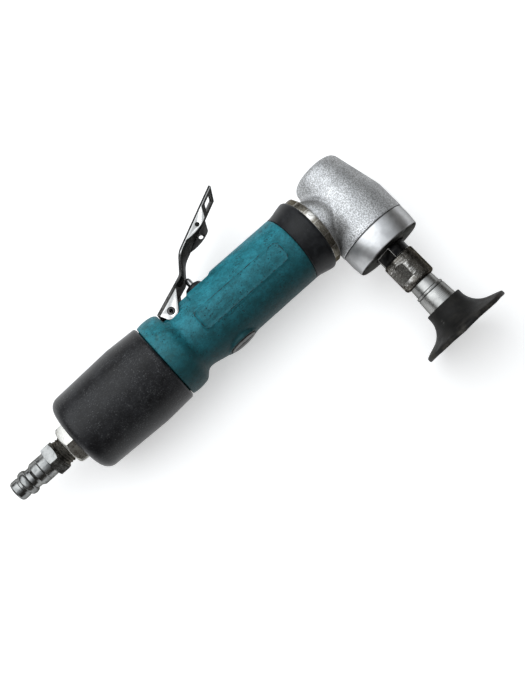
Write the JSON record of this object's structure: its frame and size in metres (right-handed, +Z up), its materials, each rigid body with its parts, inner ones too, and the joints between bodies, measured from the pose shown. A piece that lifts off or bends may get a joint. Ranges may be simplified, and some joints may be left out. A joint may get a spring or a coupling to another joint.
{
  "type": "air polisher",
  "caption": "Right-angle pneumatic polisher with a lever throttle, rear exhaust muffler and hose nipple, driving a small flared rubber disc pad through a bevel gear head.",
  "frame": {"origin": "centre of the disc socket's mouth, on the working face of the pad", "axes": "+Y up the spindle from the pad to the gear head, +X along the motor from the hose nipple to the head, +Z up as the tool lies on its side"},
  "size_m": [0.235, 0.1368, 0.048],
  "materials": {
    "teal_composite": "satin moulded composite, rubbed and stained",
    "black_composite": "satin moulded composite, finely scratched",
    "collar_rubber": "soft satin",
    "pad_rubber": "matte moulded",
    "seal_rubber": "matte",
    "cast_aluminium": "rough as cast",
    "turned_aluminium": "turned and worn",
    "ring_steel": "worn",
    "plated_steel": "nickel plated, scuffed",
    "lever_steel": "bare stamping",
    "pin_steel": "dark spring steel",
    "black_steel": "black oxide",
    "nut_steel": "browned and worn",
    "bright_steel": "turned bright",
    "bearing_steel": "ground",
    "gear_steel": "hardened",
    "motor_iron": "machined",
    "vane_laminate": "phenolic laminate",
    "brass": "turned",
    "felt": "grey felt"
  },
  "bodies": {
    "housing": {"motor_housing": "teal_composite", "front_collar": "collar_rubber", "muffler_cap": "black_composite", "silencer_felt": "felt", "inlet_bushing": "plated_steel", "air_nipple": "plated_steel", "lever_pin": "pin_steel", "stem_bushing": "black_composite", "valve_seat": "brass", "valve_spring": "pin_steel", "rear_plate": "motor_iron", "rear_bearing": "bearing_steel", "motor_cylinder": "motor_iron", "cylinder_pin": "pin_steel", "front_plate": "motor_iron", "front_bearing": "bearing_steel", "bearing_spacer": "motor_iron", "pinion_bearing": "bearing_steel", "lock_ring": "ring_steel", "angle_head": "cast_aluminium", "bearing_cap": "turned_aluminium", "upper_bearing": "bearing_steel", "lower_bearing": "bearing_steel", "bearing_clip": "pin_steel"},
    "lever": {"throttle_lever": "lever_steel"},
    "valve": {"valve_stem": "bright_steel", "valve_seal": "seal_rubber"},
    "regulator": {"regulator_knob": "turned_aluminium", "regulator_seal": "seal_rubber"},
    "rotor": {"rotor": "gear_steel", "rotor_vanes": "vane_laminate", "bevel_pinion": "gear_steel"},
    "spindle": {"spindle": "black_steel", "bevel_gear": "gear_steel", "gear_key": "pin_steel", "collet": "bright_steel", "collet_nut": "nut_steel", "pad_mandrel": "bright_steel", "rubber_pad": "pad_rubber", "pad_socket": "brass"}
  },
  "joints": [
    {"name": "lever_pivot", "type": "hinge", "parent": "housing", "child": "lever", "pos_m": [-0.1006, 0.10111, 0], "axis": [0, 0, -1], "range_deg": [0, 13.5], "stiffness_Nm_per_rad": 0.3, "springref_deg": -28.65},
    {"name": "valve_slide", "type": "slide", "parent": "housing", "child": "valve", "axis": [0, -1, 0], "range_m": [0, 0.0043], "deforming": ["valve_spring"]},
    {"name": "regulator_turn", "type": "hinge", "parent": "housing", "child": "regulator", "pos_m": [-0.0842, 0.0868, 0], "axis": [0, 1, 0], "range_deg": [0, 180]},
    {"name": "spindle_spin", "type": "hinge", "parent": "housing", "child": "spindle", "pos_m": [0, 0, 0], "axis": [0, 1, 0], "continuous": true},
    {"name": "rotor_spin", "type": "hinge", "parent": "housing", "child": "rotor", "pos_m": [0, 0.0868, 0], "axis": [1, 0, 0], "continuous": true}
  ],
  "couplings": [
    {"joint": "valve_slide", "follows": "lever_pivot", "m_per_rad": 0.01799},
    {"joint": "rotor_spin", "follows": "spindle_spin", "ratio": -1.3077}
  ]
}
